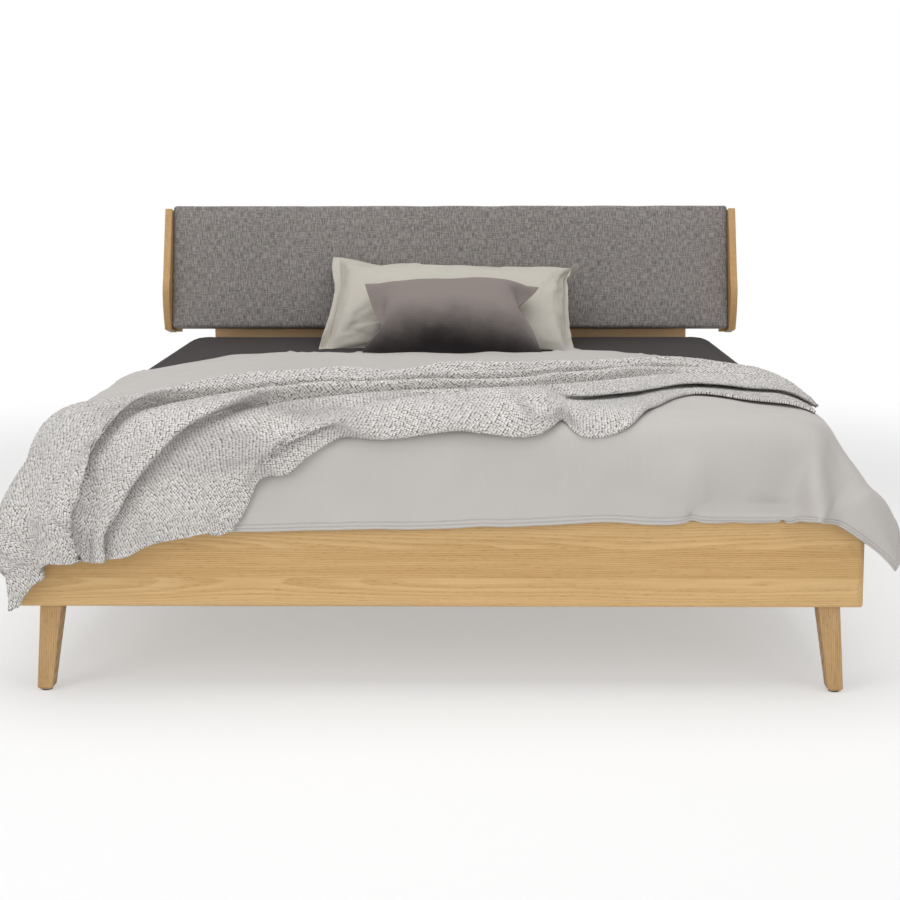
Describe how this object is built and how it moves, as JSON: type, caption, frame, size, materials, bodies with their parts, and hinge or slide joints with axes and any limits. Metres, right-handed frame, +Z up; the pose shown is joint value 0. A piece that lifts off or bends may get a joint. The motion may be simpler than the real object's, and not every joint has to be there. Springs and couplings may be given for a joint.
{
  "type": "bed",
  "caption": "Low double bed: oak panel frame on splayed tapered legs, leaning upholstered headboard between oak cheeks, made up with mattress, duvet, pillow, cushion and throw.",
  "frame": {"origin": "on the floor under the middle of the frame, at the middle of the centre foot's underside", "axes": "+Z up; +Y from the foot of the bed to its head, so the footboard faces -Y; +X to the right of someone at the foot who looks at the headboard"},
  "size_m": [2.009, 2.1996, 1.0435],
  "materials": {
    "oak": "oiled, satin",
    "pine": "planed, matte",
    "plywood": "sanded, matte",
    "bracket_steel": "zinc plated, satin",
    "screw_steel": "zinc plated, satin",
    "glide_plastic": "moulded, matte",
    "webbing": "woven, matte",
    "headboard_cloth": "woven linen look, matte",
    "ticking": "knitted ticking, matte",
    "sheet_cloth": "smooth cotton, matte",
    "duvet_cloth": "cotton sateen, soft sheen",
    "pillow_cloth": "cotton sateen, soft sheen",
    "velvet": "quilted velvet, directional sheen",
    "knit": "chunky moss-stitch knit, matte"
  },
  "bodies": {
    "bed": {"footboard": "oak", "head_rail": "oak", "side_rail_left": "oak", "side_rail_right": "oak", "corner_bracket_front_left": "bracket_steel", "corner_bracket_front_right": "bracket_steel", "corner_bracket_rear_left": "bracket_steel", "corner_bracket_rear_right": "bracket_steel", "leg_front_left": "oak", "leg_bolt_front_left": "screw_steel", "leg_glide_front_left": "glide_plastic", "leg_front_right": "oak", "leg_bolt_front_right": "screw_steel", "leg_glide_front_right": "glide_plastic", "leg_rear_left": "oak", "leg_bolt_rear_left": "screw_steel", "leg_glide_rear_left": "glide_plastic", "leg_rear_right": "oak", "leg_bolt_rear_right": "screw_steel", "leg_glide_rear_right": "glide_plastic", "ledger_left": "pine", "ledger_right": "pine", "slat_01": "pine", "slat_02": "pine", "slat_03": "pine", "slat_04": "pine", "slat_05": "pine", "slat_06": "pine", "slat_07": "pine", "slat_08": "pine", "slat_09": "pine", "slat_10": "pine", "slat_11": "pine", "slat_12": "pine", "slat_13": "pine", "slat_strap_left": "webbing", "slat_strap_right": "webbing", "centre_beam": "pine", "beam_hanger_front": "bracket_steel", "beam_hanger_rear": "bracket_steel", "centre_post": "pine", "post_bush": "screw_steel", "support_board": "oak", "wedge_cleat_left": "oak", "wedge_cleat_centre": "oak", "wedge_cleat_right": "oak", "backboard": "plywood", "headboard_pad": "headboard_cloth", "cheek_left": "oak", "cheek_batten_left": "oak", "cheek_right": "oak", "cheek_batten_right": "oak", "mattress": "ticking", "fitted_sheet": "sheet_cloth", "duvet": "duvet_cloth", "throw": "knit", "pillow": "pillow_cloth", "cushion": "velvet"},
    "centre_foot": {"foot_spindle": "screw_steel", "foot_glide": "glide_plastic"}
  },
  "joints": [
    {"name": "centre_foot_height", "type": "slide", "parent": "bed", "child": "centre_foot", "axis": [0, 0, 1], "range_m": [-0.01, 0.015]}
  ]
}
